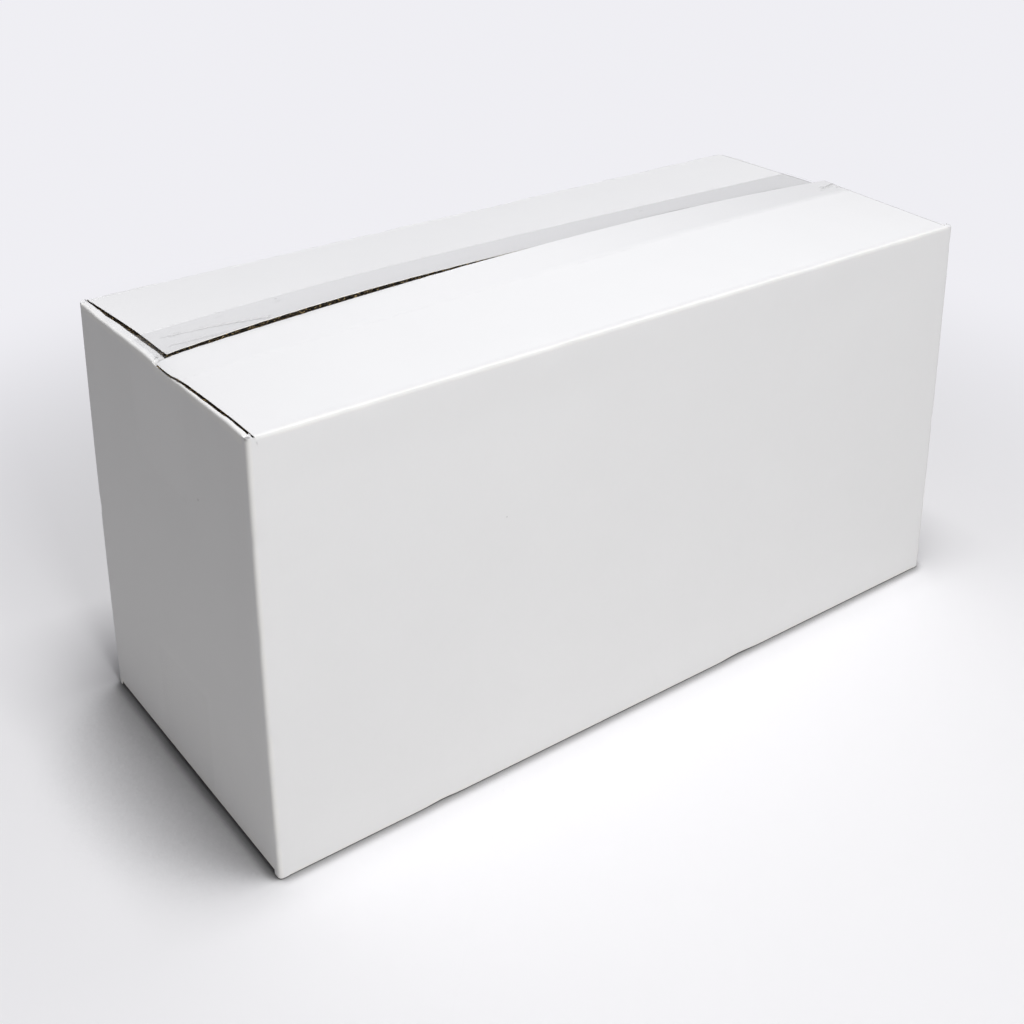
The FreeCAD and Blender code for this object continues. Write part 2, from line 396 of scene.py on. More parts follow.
        patch(across, walls[1:-1], wall, onBlank(flatY),
              sink=lambda y, z: fade(y, -sideOfEnd, highSide) * fade(z, endLow, endHigh))
        patch(across, endTurn, topFold, onBlank(flatY, endHigh, arc), bent=ridge, cuts=(-0.2, -0.2, 0, 0))
        patch(across, endTurn, bottomFold, onBlank(flatY, endLow, -arc), bent=ridge, cuts=(2.0, 2.0, 0, 0))
        rows = [0.35 * k for k in range(9)] + [3.6, 4.8, 6.5, 9.0, 12.0, 16.0] + spread(24.0, reach, 8.0)
        patch(across, rows, topFlap, onBlank(flatY, endHigh + arc), cuts=(2.0, 2.0, 0, 3.0))
        patch(across, rows, bottomFlap, onBlank(flatY, endLow - arc, -1.0), cuts=(2.0, 2.0, 0, 3.0))

    # Upright folds with the flat strips beside them: start and end directions, centre, start on the blank, how
    # square the fold is, and how far its top is cut back on either side to clear a long flap
    steps = [-1] + turn + [2]  # before 0 and past 1 is the flat strip
    corners = [
        ((1, 0), (0, -1), (hingeX, -hingeY), frontStart - arc, ears, steps, 2.6, -strip, -strip),
        ((0, -1), (-1, 0), (-hingeX, -hingeY), leftStart - arc, ears, steps, 3.8, -strip, 0.35),
        ((-1, 0), (0, 1), (-hingeX, hingeY), backStart - arc, ears, steps, 2.4, 0.15, -strip),
        ((0, 1), (1, 0), (hingeX, jointY), rightStart - arc, walls[1:-1], turn + [2], 3.4, -strip, -strip),
    ]
    for begin, end, centre, start, rows, steps, crisp, clearA, clearB in corners:
        def upright(t, z, deep):
            a, b = foldPoint(held(t), deep, crisp)
            a, b = a - strip * max(0.0, t - 1), b + strip * min(0.0, t)
            if z > longHigh + 0.1:
                a, b = max(a, clearA + 0.05 * (2 - t)), max(b, clearB + 0.05 * (t + 1))
            return Vector((centre[0] + begin[0] * a + end[0] * b, centre[1] + begin[1] * a + end[1] * b, z))

        def spot(t):
            return start + arc * held(t) + strip * (max(0.0, t - 1) + min(0.0, t))

        patch(steps, rows, upright, onBlank(spot), bent=lambda t, z: ridge(z, held(t)), cuts=(0.4, 0.4, 0.6, -0.2))

    # Glue tab, stuck inside the back panel
    def tab(s, z, deep):
        pinch = 1 - 0.05 * smooth(s / 8.0)
        middle = (endLow + endHigh) / 2
        return Vector((hingeX - s, halfWidth - board - 0.05 * smooth(s) - deep, middle + (z - middle) * pinch))

    tabRows = [0.0, 2.0, 4.0, 8.0, 16.0, 24.0, carton["glueTab"]]
    patch(tabRows, walls[1:-1], tab, onBlank(lambda s: carton["glueTab"] - s))
    return sheet


def closeSheet(sheet):
    # Puts the inside on the sheet and gives every cut edge its two liners, with the fluted layer set back.
    # Finishes: 0 outside liner, 1 inside liner, 2 cut liner, 3 fluted layer painted near black as shade.
    used = {}  # the faces at each side
    for number, face in enumerate(sheet.faces):
        for a, b in zip(face, face[1:] + face[:1]):
            used.setdefault(frozenset((a, b)), []).append((a, b, number))
    rim = [entry[0] for entry in used.values() if len(entry) == 1]
    pulls = {}
    for a, b, number in rim:
        p, q = sheet.outside[a], sheet.outside[b]
        middle = sum((sheet.outside[c] for c in sheet.faces[number]), Vector()) / 4
        run = (q - p).normalized()
        inward = middle - (p + q) / 2
        inward = (inward - run * inward.dot(run)).normalized()
        depth = abs(sheet.cuts[frozenset((a, b))])
        pulls.setdefault(a, []).append((inward, depth, run))
        pulls.setdefault(b, []).append((inward, depth, -run))

    count = len(sheet.outside)
    points = sheet.outside + sheet.inside
    flats, bents = sheet.flat * 2, sheet.bent * 2
    ring, lip = {}, carton["lip"]
    for corner, pull in pulls.items():
        (n1, d1, run1), (n2, d2, run2) = pull
        cosine = n1.dot(n2)
        if cosine > 0.95:
            offset = (n1 + n2).normalized() * (d1 + d2) / 2
        elif cosine < -0.95:  # the closed end of a slit
            offset = -(run1 + run2).normalized() * min(d1, d2)
        else:
            share = 1 - cosine * cosine
            offset = n1 * ((d1 - cosine * d2) / share) + n2 * ((d2 - cosine * d1) / share)
        out, into = sheet.outside[corner], sheet.inside[corner]
        offset *= min(1.0, (out - into).length / board) ** 2  # a crushed edge is closed up
        upper, lower = out.lerp(into, lip), out.lerp(into, 1 - lip)
        ring[corner] = [corner, *range(len(points), len(points) + 4), corner + count]
        points += [upper, upper + offset, lower + offset, lower]
        flats += [sheet.flat[corner]] * 4
        bents += [0.0] * 4
    faces = [(face, 0) for face in sheet.faces]
    faces += [(tuple(c + count for c in reversed(face)), 1) for face in sheet.faces]
    for a, b, number in rim:
        rolled = sheet.cuts[frozenset((a, b))] < 0
        pa, pb = ring[a], ring[b]
        for level, finish in enumerate((0, 0, 0, 0, 0) if rolled else (2, 3, 3, 3, 3)):
            faces.append(((pb[level], pa[level], pa[level + 1], pb[level + 1]), finish))
    return points, faces, flats, bents


def leaned(p):
    # The carton is a little out of true: its end panels lean in at the top, and its upright edges bow out.
    x, y, z = p
    high = min(1.05, max(-1.05, (z - base) / carton["height"] * 2 - 1))
    back = y / halfWidth
    (leanLeft, leanRight), (bowLeft, bowRight) = carton["lean"], carton["bow"]
    left = leanLeft * high * (1 + 0.5 * back) - bowLeft * (1 - high * high)
    right = -leanRight * high - bowRight * high * high
    share = (x / halfLength + 1) / 2
    return x + left + (right - left) * share, y, z


def addObject(name, data):
    thing = bpy.data.objects.new(name, data)
    bpy.context.scene.collection.objects.link(thing)
    return thing


def gridFaces(rows, wide, turned):
    # The faces of a grid of points that are listed row by row, with their material number.
    faces = []
    for j in range(rows - 1):
        for a in range(j * wide, (j + 1) * wide - 1):
            face = (a, a + 1, a + 1 + wide, a + wide)
            faces.append((face[::-1] if turned else face, 0))
    return faces


def pieceFrom(name, points, faces, materials, flats=None, bents=None, crease=35.0):
    # A mesh object from millimetre points and (corners, material number) faces.
    mesh = bpy.data.meshes.new(name)
    places = [tuple(c * mm for c in leaned(p)) for p in points]
    mesh.from_pydata(places, [], [corners for corners, finish in faces])
    for material in materials:
        mesh.materials.append(material)
    mesh.polygons.foreach_set("material_index", [finish for corners, finish in faces])
    if flats:
        layer = mesh.uv_layers.new(name="blank")
        for loop in mesh.loops:
            layer.data[loop.index].uv = flats[loop.vertex_index]
    if bents:
        layer = mesh.attributes.new("bent", "FLOAT", "POINT")
        layer.data.foreach_set("value", bents)
    mesh.validate()
    mesh.update()
    mesh.shade_smooth()
    mesh.set_sharp_from_angle(angle=math.radians(crease))
    return addObject(name, mesh)


# Short ways to build node trees. Values are numbers, or sockets to link.
def feed(socket, value):
    if isinstance(value, bpy.types.NodeSocket):
        socket.id_data.links.new(value, socket)
    else:
        socket.default_value = value


def fill(node, values):
    for key, value in values.items():
        feed(node.inputs[key], value)


def addNode(tree, kind, values={}, family="ShaderNode", **settings):
    node = tree.nodes.new(family + kind)
    for key, value in settings.items():
        setattr(node, key, value)
    fill(node, values)
    return node


def treeOf(values):
    # The node tree that the linked values belong to.
    return next(value.id_data for value in values if isinstance(value, bpy.types.NodeSocket))


def maths(operation, *values, clamp=False):
    node = addNode(treeOf(values), "Math", dict(enumerate(values)), operation=operation, use_clamp=clamp)
    return node.outputs[0]


times, plus, minus = partial(maths, "MULTIPLY"), partial(maths, "ADD"), partial(maths, "SUBTRACT")
timesPlus = partial(maths, "MULTIPLY_ADD")


def blendColour(factor, a, b, how="MIX"):
    values = {0: factor, 6: a, 7: b}
    return addNode(treeOf(values.values()), "Mix", values, data_type="RGBA", blend_type=how).outputs[2]


def shaded(colour, shade):
    grey = addNode(shade.id_data, "CombineColor", dict.fromkeys(("Red", "Green", "Blue"), shade)).outputs[0]
    return blendColour(1.0, colour, grey, "MULTIPLY")


def rampBetween(value, low, high, toLow=0.0, toHigh=1.0):
    values = {"Value": value, "From Min": low, "From Max": high, "To Min": toLow, "To Max": toHigh}
    return addNode(value.id_data, "MapRange", values, interpolation_type="SMOOTHSTEP").outputs[0]


def cloudsAt(place, scale, detail, roughness=0.5, distortion=0.0):
    values = {"Vector": place, "Scale": scale, "Detail": detail, "Roughness": roughness, "Distortion": distortion}
    return addNode(place.id_data, "TexNoise", values).outputs["Fac"]


def partsOf(vector):
    return addNode(vector.id_data, "SeparateXYZ", {0: vector}).outputs


def bump(shader, height, strength, distance):
    values = {"Height": height, "Strength": strength, "Distance": distance}
    feed(shader.inputs["Normal"], addNode(shader.id_data, "Bump", values).outputs[0])


def seenRays(tree):
    # 1 for what the camera sees, also in a gloss or through the film.
    paths = addNode(tree, "LightPath").outputs
    straight = maths("MAXIMUM", paths["Is Camera Ray"], paths["Is Glossy Ray"])
    return maths("MAXIMUM", straight, paths["Is Transmission Ray"])


def nodeGroup(name, inputs, outputs, family="ShaderNodeTree"):
    # An input is given by its type, or by the value of a float.
    tree = bpy.data.node_groups.new(name, family)
    for label, value in inputs.items():
        kind = value if isinstance(value, str) else "Float"
        socket = tree.interface.new_socket(label, in_out="INPUT", socket_type="NodeSocket" + kind)
        if kind == "Float":
            socket.default_value = value
    for label, kind in outputs.items():
        tree.interface.new_socket(label, in_out="OUTPUT", socket_type="NodeSocket" + kind)
    return tree, tree.nodes.new("NodeGroupInput").outputs, tree.nodes.new("NodeGroupOutput").inputs


def useGroup(group, values):
    return addNode(treeOf(values.values()), "Group", values, node_tree=group).outputs


def ownMaps(tree):
    # A piece's place on the flat sheet, and how bent or creased it is, less than 0 where its ends are painted
    # darker.
    blank = addNode(tree, "UVMap", uv_map="blank").outputs[0]
    return blank, addNode(tree, "Attribute", attribute_name="bent").outputs["Fac"]


def newMaterial(name):
    # The material, its shader and the object coordinates.
    material = bpy.data.materials.new(name)
    material.use_nodes = True
    shader = material.node_tree.nodes["Principled BSDF"]
    return material, shader, addNode(material.node_tree, "TexCoord").outputs["Object"]


def makePaperGrain():
    # Cloudy formation of the sheet and the fine fibres on it.
    tree, given, result = nodeGroup(
        "paperGrain", {"Place": "Vector", "Cloud Size": 22.0, "Fibre Size": 900.0, "Contrast": 0.03},
        {"Tone": "Float", "Height": "Float"})
    cloud = cloudsAt(given["Place"], given["Cloud Size"], 5.0, roughness=0.62)
    stretched = addNode(tree, "Mapping", {"Vector": given["Place"], "Scale": (1.0, 1.0, 0.35)}).outputs[0]
    fibre = cloudsAt(stretched, given["Fibre Size"], 3.0, roughness=0.7, distortion=0.4)
    speck = times(minus(fibre, 0.5), 0.6)
    swing = times(plus(minus(cloud, 0.5), speck), given["Contrast"])
    feed(result["Tone"], plus(swing, 1.0))
    feed(result["Height"], plus(fibre, times(cloud, 1.5)))
    return tree


def makeFoldWear():
    # Scuffed paper along the folds, where it rubs on everything.
    tree, given, result = nodeGroup("foldWear", {"Place": "Vector", "Bent": 0.0, "Reach": 0.5}, {"Mask": "Float"})
    worn = plus(given["Bent"], minus(cloudsAt(given["Place"], 70.0, 6.0, 0.7), 0.5))
    feed(result["Mask"], rampBetween(minus(worn, given["Reach"]), 0.0, 0.4))
    return tree


def makeWashboard():
    # The fluted layer printing through the liner, as soft ridges across the blank.
    tree, given, result = nodeGroup("washboard", {"Blank": "Vector", "Flutes": 195.0}, {"Height": "Float"})
    turns = times(times(partsOf(given["Blank"])[0], given["Flutes"]), 2 * math.pi)
    feed(result["Height"], times(maths("SINE", turns), cloudsAt(given["Blank"], 9.0, 2.0)))
    return tree


paperGrain, foldWear, washboard = makePaperGrain(), makeFoldWear(), makeWashboard()

# White top liner. Where tape is stuck down the paper has a gloss, and painted shade makes it a little darker.
liner = {
    "colour": (0.86, 0.86, 0.87, 1.0),
    "scuff": (0.9, 0.895, 0.885, 1.0),
    "scuffFrom": 0.62,
    "shader": {"Roughness": 0.62, "Specular IOR Level": 0.35, "Coat Roughness": 0.12, "Coat IOR": 1.48},
    "tone": 0.035,
    "flutesShow": 0.06,  # how far the fluted layer prints through
    "grainShow": 0.25,
    "bump": (0.22, 0.0004),  # strength, distance
    "tapeHalf": 25.0,
    "tapeTail": 55.0,  # down or up the end panels
    # The middle of the top tape at the left end and the right, and how far it bows to the front
    "tapeMiddle": (1.5, 6.0, 4.5),
    "tapeEdge": 0.15,  # how sharp the tape's borders are
    "tapeSoft": (5.0, 1.5),  # the top tape's front border fades in over this much, inside and outside it
    "tapeOver": (2.2, 0.5),  # how far the tape counts as flat, down from the crest and up from the base
    "tapeReach": 196.2,
    # Painted shade under the tape, growing darker towards the right end
    "paintedShadeBack": (0.875, 0.745),  # painted shade under the tape on the back flap, left and right end
    "paintedShadeFront": (1.0, 0.87),
    "paintedShadeFrom": (-185.0, -60.0, 185.0),  # the back flap's left, the front flap's left, and both right ends
    "seamShade": (0.95, 14.0),  # painted shade, darker still next to the seam, and how far from it
    "lidGloss": 0.7,
    "wallGloss": 0.08,
    "endDarkness": 0.85,  # how dark the long flaps' right ends are painted, partly as shadow
    "speckTone": 0.45,
    "specks": [
        (-198.4, -82.2, 202.6, 1.6), (-200.0, -34.0, 155.7, 0.9), (-200.0, 12.5, 199.0, 1.0),
        (-84.0, -84.0, 131.0, 0.5), (-200.0, 31.0, 77.0, 0.6),
    ],
    "creaseShadeLines": [  # painted shade of the tape's creases on the paper: from x, y, to x, y, width, how light
        (-188.3, 17.0, -166.2, 10.9, 0.5, 0.76), (-166.2, 10.9, -145.0, 2.2, 0.5, 0.72),
        (-188.6, 6.2, -165.5, 0.8, 0.45, 0.84), (-132.4, 21.5, -132.0, 21.2, 0.6, 0.6),
        (-158.1, 25.0, -157.6, 24.6, 0.5, 0.7), (75.5, 18.3, 76.5, 18.0, 0.7, 0.7),
        (116.1, 9.1, 117.6, 8.8, 0.7, 0.65), (181.0, -9.6, 193.0, -6.4, 0.6, 0.5),
    ],
}


def tapeMiddle(x):
    # The top tape's middle line, which wanders a little.
    left, right, bow = liner["tapeMiddle"]
    share = x / halfLength
    return (left + right) / 2 + (right - left) / 2 * share - bow * (1 - share * share)


def makeLiner():
    material, shader, where = newMaterial("whiteLiner")
    tree = shader.id_data
    blank, bent = ownMaps(tree)
    grain = useGroup(paperGrain, {"Place": where, "Contrast": liner["tone"]})
    worn = useGroup(foldWear, {"Place": where, "Bent": bent, "Reach": liner["scuffFrom"]})["Mask"]
    ridges = useGroup(washboard, {"Blank": blank, "Flutes": carton["blankSpan"] / carton["flutePitch"]})["Height"]

    # Where the tape lies flat on the carton, and where on its end panels
    x, y, z = (maths("DIVIDE", part, mm) for part in partsOf(where))
    half, edge, tail = liner["tapeHalf"], liner["tapeEdge"], liner["tapeTail"]

    def inside(distance):
        return rampBetween(distance, half - edge, half + edge, 1.0, 0.0)

    left, right, bow = liner["tapeMiddle"]
    share = maths("DIVIDE", x, halfLength)
    middle = timesPlus(share, (right - left) / 2, (left + right) / 2)
    fromMiddle = minus(y, minus(middle, timesPlus(times(share, share), -bow, bow)))
    softIn, softOut = liner["tapeSoft"]
    onLid = times(rampBetween(fromMiddle, -half - softOut, softIn - half), inside(fromMiddle))
    crestOver, baseOver = liner["tapeOver"]
    upper = maths("GREATER_THAN", z, crest - crestOver)
    lid = times(times(onLid, upper), maths("LESS_THAN", maths("ABSOLUTE", x), liner["tapeReach"]))
    onTop, under = inside(maths("ABSOLUTE", fromMiddle)), inside(maths("ABSOLUTE", y))
    topTail = times(onTop, maths("COMPARE", z, crest - (tail + crestOver) / 2, (tail - crestOver) / 2))
    underside = times(under, maths("LESS_THAN", z, base + baseOver))
    lowTail = times(under, maths("COMPARE", z, base + (tail + baseOver) / 2, (tail - baseOver) / 2))
    flat, walls = plus(lid, underside, clamp=True), plus(topTail, lowTail, clamp=True)

    # Painted shade under the film, most of all on the back flap and towards the right end, and darker at the long
    # flaps' right ends, partly as a painted shadow
    backFrom, frontFrom, rightEnd = liner["paintedShadeFrom"]
    seamTone, seamReach = liner["seamShade"]
    frontPaintedShade = rampBetween(x, frontFrom, rightEnd, *liner["paintedShadeFront"])
    backPaintedShade = times(rampBetween(x, backFrom, rightEnd, *liner["paintedShadeBack"]),
                     rampBetween(y, 0.0, seamReach, seamTone, 1.0))
    values = {0: maths("GREATER_THAN", y, 0.0), 2: frontPaintedShade, 3: backPaintedShade}
    tone = timesPlus(lid, minus(addNode(tree, "Mix", values).outputs[0], 1.0), 1.0)
    tone = times(tone, rampBetween(bent, -1.0, 0.0, 1.0 - liner["endDarkness"], 1.0))
    for *spot, size in liner["specks"]:
        values = {0: where, 1: [c * mm for c in spot]}
        gap = addNode(tree, "VectorMath", values, operation="DISTANCE").outputs["Value"]
        tone = times(tone, rampBetween(gap, size * 0.4 * mm, size * mm, liner["speckTone"], 1.0))
    # Painted shade lines where the tape is creased
    for x0, y0, x1, y1, width, light in liner["creaseShadeLines"]:
        spanX, spanY = x1 - x0, y1 - y0
        run = spanX ** 2 + spanY ** 2
        awayX, awayY = minus(x, x0), minus(y, y0)
        along = timesPlus(awayX, spanX / run, times(awayY, spanY / run), clamp=True)
        gapX, gapY = minus(awayX, times(along, spanX)), minus(awayY, times(along, spanY))
        gap = maths("SQRT", timesPlus(gapX, gapX, times(gapY, gapY)))
        mark = times(upper, rampBetween(gap, width * 0.3, width, 1.0 - light, 0.0))
        tone = times(tone, minus(1.0, mark))

    paper = blendColour(worn, liner["colour"], liner["scuff"])
    gloss = timesPlus(flat, liner["lidGloss"], times(walls, liner["wallGloss"]))
    fill(shader, {**liner["shader"], "Base Color": shaded(paper, times(grain["Tone"], tone)), "Coat Weight": gloss})
    bump(shader, timesPlus(ridges, liner["flutesShow"], times(grain["Height"], liner["grainShow"])), *liner["bump"])
    return material


# Brown kraft: the inside liner, the fluted layer and the cut edges. The fluted layer is painted near black, as
# shade deep in the board's cut edges.
kraft = {
    "inside": (0.40, 0.27, 0.155, 1.0),
    "fluteShadeColour": (0.04, 0.027, 0.014, 1.0),
    "fleck": (0.7, 0.5, 0.22, 1.0),  # torn bits of the fluted layer
    "fleckFrom": (0.55, 0.64),
    "cut": (0.93, 0.91, 0.87, 1.0),
    "shader": {"Roughness": 0.85, "Specular IOR Level": 0.25},
    "bump": (0.3, 0.0003),
    "jointEdge": 0.3,  # how close to the glued corner's cut edge it starts
}


def makeKraft(name, colour, tone, flecked=False):
    material, shader, where = newMaterial(name)
    grain = useGroup(paperGrain, {"Place": where, "Contrast": tone, "Cloud Size": 45.0})
    if flecked:
        torn = rampBetween(cloudsAt(where, 800.0, 3.0), *kraft["fleckFrom"])
        colour = blendColour(torn, colour, kraft["fleck"])
        # The glued corner's edge is out in the light, so there the plain inside kraft replaces the painted shade.
        x, y, z = partsOf(where)
        joint = times(maths("GREATER_THAN", x, (flapEnd + kraft["jointEdge"]) * mm),
                      maths("GREATER_THAN", y, (halfWidth - board - kraft["jointEdge"]) * mm))
        colour = blendColour(joint, colour, kraft["inside"])
    fill(shader, {**kraft["shader"], "Base Color": shaded(colour, grain["Tone"])})
    bump(shader, grain["Height"], *kraft["bump"])
    return material


whiteLiner = makeLiner()
kraftInside = makeKraft("kraftInside", kraft["inside"], 0.12)
paintedShadeFlutes = makeKraft("paintedShadeFlutes", kraft["fluteShadeColour"], 0.18, flecked=True)
cutPaper = makeKraft("cutPaper", kraft["cut"], 0.2)

# The carton itself
points, faces, flats, bents = closeSheet(foldBlank())
finishes = [whiteLiner, kraftInside, cutPaper, paintedShadeFlutes]
cartonBoard = pieceFrom("cartonBoard", points, faces, finishes, flats, bents)
print("carton board:", len(points), "points", len(faces), "faces")

# The fluted layer that shows in the cut edges along both seams, painted near black as shade
flutes = {
    "height": 2.2,
    "paper": 0.2,
    "uneven": 0.64,  # how unevenly the knife left it
    "shift": 1.6,  # how far the waves drift to and fro, as an angle
    "reach": 10.4,  # how deep the strip goes into the board
    "setBack": 0.35,
    "perFlute": 12,  # stations in one wave
    "weld": 0.001,
    "seed": 4.0,
}


def makeFluteTree():
    floats = dict.fromkeys(("Pitch", "Height", "Paper", "Uneven", "Seed"), 0.0)
    tree, given, result = nodeGroup(
        "flutedLayer", {"Geometry": "Geometry", **floats}, {"Geometry": "Geometry"}, "GeometryNodeTree")

    def step(kind, values={}):
        return addNode(tree, kind, values, family="GeometryNode").outputs[0]

    where = step("InputPosition")
    turns = times(maths("DIVIDE", partsOf(where)[0], given["Pitch"]), 2 * math.pi)
    values = {"Vector": where, "W": given["Seed"], "Scale": 120.0, "Detail": 2.0}
    drift = minus(addNode(tree, "TexNoise", values, noise_dimensions="4D").outputs["Fac"], 0.5)
    turns = plus(turns, times(drift, flutes["shift"]))
    rise = times(maths("SINE", turns), times(given["Height"], 0.5))
    rise = plus(rise, times(drift, given["Uneven"]))
    offset = addNode(tree, "VectorMath", {0: step("InputNormal"), "Scale": rise}, operation="SCALE").outputs[0]
    wave = step("SetPosition", {"Geometry": given["Geometry"], "Offset": offset})

    # Gives the paper its thickness: the lifted copy and the turned original, closed round the rim
    lifted = step("ExtrudeMesh", {"Mesh": wave, "Offset Scale": given["Paper"], "Individual": False})
    both = step("JoinGeometry", {0: lifted})
    feed(both.node.inputs[0], step("FlipFaces", {0: wave}))
    closed = step("MergeByDistance", {"Geometry": both, "Distance": flutes["weld"] * mm})
    real = step("RealizeInstances", {0: closed})
    # The fluted layer takes the near-black kraft that paints its shade
    feed(result["Geometry"], step("SetMaterial", {"Geometry": real, "Material": paintedShadeFlutes}))
    return tree


fluteTree = makeFluteTree()


def fluteStrip(name, side, top):
    # A strip in the middle of the board behind a seam edge, waved by the node tree.
    low, high = (leftEnd(side, 1.0) if top else -flapEnd) + carton["crush"], flapEnd - carton["crush"]
    stations = spread(low, high, carton["flutePitch"] / flutes["perFlute"])
    points = []
    for y in (seamY + flutes["setBack"], seamY + flutes["reach"]):
        across = acrossFlap(y)
        for x in stations:
            z = crest - board / 2 + flapHeight(side, x, across) if top else base + board / 2
            points.append((x, side * y, z - flutes["paper"] / 2))
    strip = pieceFrom(name + "Strip", points, gridFaces(2, len(stations), side < 0), [paintedShadeFlutes])
    wave = strip.modifiers.new("wave", "NODES")
    wave.node_group = fluteTree
    sizes = {"Pitch": carton["flutePitch"] * mm, "Height": flutes["height"] * mm, "Paper": flutes["paper"] * mm,
             "Uneven": flutes["uneven"] * mm, "Seed": flutes["seed"] + side + 3 * top}
    for item in fluteTree.interface.items_tree:
        if item.in_out == "INPUT" and item.name in sizes:
            wave[item.identifier] = sizes[item.name]
    strip.update_tag()
    ready = strip.evaluated_get(bpy.context.evaluated_depsgraph_get())
    mesh = bpy.data.meshes.new_from_object(ready)
    mesh.name = name
    bpy.data.objects.remove(strip)
    return addObject(name, mesh)


fluteStrips = [
    fluteStrip("topFrontFlutes", -1, True),
    fluteStrip("topBackFlutes", 1, True),
    fluteStrip("bottomFrontFlutes", -1, False),
    fluteStrip("bottomBackFlutes", 1, False),
]
print("fluted layer:", [len(strip.data.polygons) for strip in fluteStrips])

# Clear packing tape over both seams
tape = {
    "film": 0.06,
    "air": 0.26,  # over the board
    "span": 5.0,  # how far it bridges the step at the seam
    "soften": 0.4,
    "cell": 3.0,
    "slack": 0.35,  # crinkles where it turns over the ends
    "turnIn": 1.1,  # from its outer face to the crown of its turn
    "shader": {"Base Color": (0.84, 0.84, 0.83, 1.0), "IOR": 1.49},
    "roughness": (0.16, 0.12),  # least, and how much more where it is cloudy
    "bump": (0.2, 0.0003),
    "filmAlpha": 0.004,
    # The border's opacity: the film's edge, and a painted glint along it
    "edgeAndGlintAlpha": 0.12,
    "edgeFrom": (0.478, 0.486),  # where the border begins, from the middle, as a share of the map's width
    "wallEdge": 0.35,  # share of the edge that shows on the tails
    "wallBelow": 4.0,
    "frontEdgeAndGlint": 0.3,
    "creaseAlpha": 0.34,
}

# Creases in the top tape: from x, y, to x, y, height, reach
creases = [
    (-189.5, 17.0, -167.2, 10.9, 0.35, 0.7), (-167.2, 10.9, -145.7, 2.2, 0.45, 0.7),
    (-189.7, 6.2, -166.4, 0.8, 0.3, 0.6), (-162.0, 20.0, -159.0, 22.0, 0.3, 0.5),
    (-136.0, 16.0, -133.0, 19.0, 0.3, 0.5), (195.0, -6.5, 180.0, -12.5, 0.5, 0.8),
    (195.0, -13.0, 184.0, -9.0, 0.35, 0.6), (195.0, 4.0, 150.0, 1.5, 0.3, 0.8),
    (110.0, 5.0, 60.0, 3.0, 0.2, 0.8),
]


def creaseHeight(x, y):
    rise = 0.0
    for x0, y0, x1, y1, height, reach in creases:
        a, b, p = Vector((x0, y0)), Vector((x1, y1)), Vector((x, y))
        along = held((p - a).dot(b - a) / (b - a).length_squared)
        gap = (p - a.lerp(b, along)).length
        if gap < 3 * reach:
            rise = max(rise, height * math.exp(-(gap / reach) ** 2))
    return rise


def lidUnderTape(x, y):
    # Next to the seam the tape comes straight down from the flap that stands higher.
    side = -1 if y < 0 else 1
    step = flapHeight(-side, x, 1.0) - flapHeight(side, x, 1.0)
    step = (step + math.hypot(step, tape["soften"])) / 2
    near = max(0.0, 1 - (abs(y) + seamY) / (2 * seamY + tape["span"]))
    return flapHeight(side, x, acrossFlap(y)) + step * near


def filmRows(front, back):
    # Lines along the tape, close together next to the seam. Each gives y at an x.
    landing = seamY + tape["span"]
    near, far = [0.04, 0.08, 0.12, 0.16, 0.2, 0.24, 0.28, 0.32, 0.36], [0.48, 0.6, 0.72, 0.84, 0.94, 0.985, 1.0]
    steps = spread(-landing, -seamY, 0.7) + [0.0] + spread(seamY, landing, 0.7)
    rows = [lambda x, t=t: -landing + (front(x) + landing) * t for t in far[::-1] + [0.36, 0.24, 0.12]]
    rows += [lambda x, y=y: y for y in steps]
    return rows + [lambda x, t=t: landing + (back(x) - landing) * t for t in near + far]


def filmEnd(side, lidEnd, y, up, level, lidHeight):
    # The film from its foot, up an end panel and over its fold to the lid, as at the left: x, z, how loose it is
    wall, turnIn = halfLength + tape["air"], tape["turnIn"]
    foot = level - up * liner["tapeTail"]
    standsUp = between(leftEnds if side < 0 else rightEnds, y, 3) if up > 0 else bottomBulge
    crownZ = level - up * (board + carton["plyAir"] - standsUp - tape["air"])
    lidZ = level + up * (lidHeight(lidEnd, y) + tape["air"])
    path = [(-wall, foot + (crownZ - up * 1.8 - foot) * t, 0.0) for t in spread(0.0, 1.0, 0.1)]
    path += [(-wall + 0.2, crownZ - up * 0.7, 0.1), (-wall + 0.6, crownZ - up * 0.15, 0.3)]
    path.append((-wall + turnIn, crownZ, 0.5))
    reach = wall - turnIn - abs(lidEnd)
    for t in (0.2, 0.4, 0.6, 0.8):
        path.append((-wall + turnIn + reach * t, crownZ + (lidZ - crownZ) * t, 1.0 - abs(t - 0.5)))
    return path


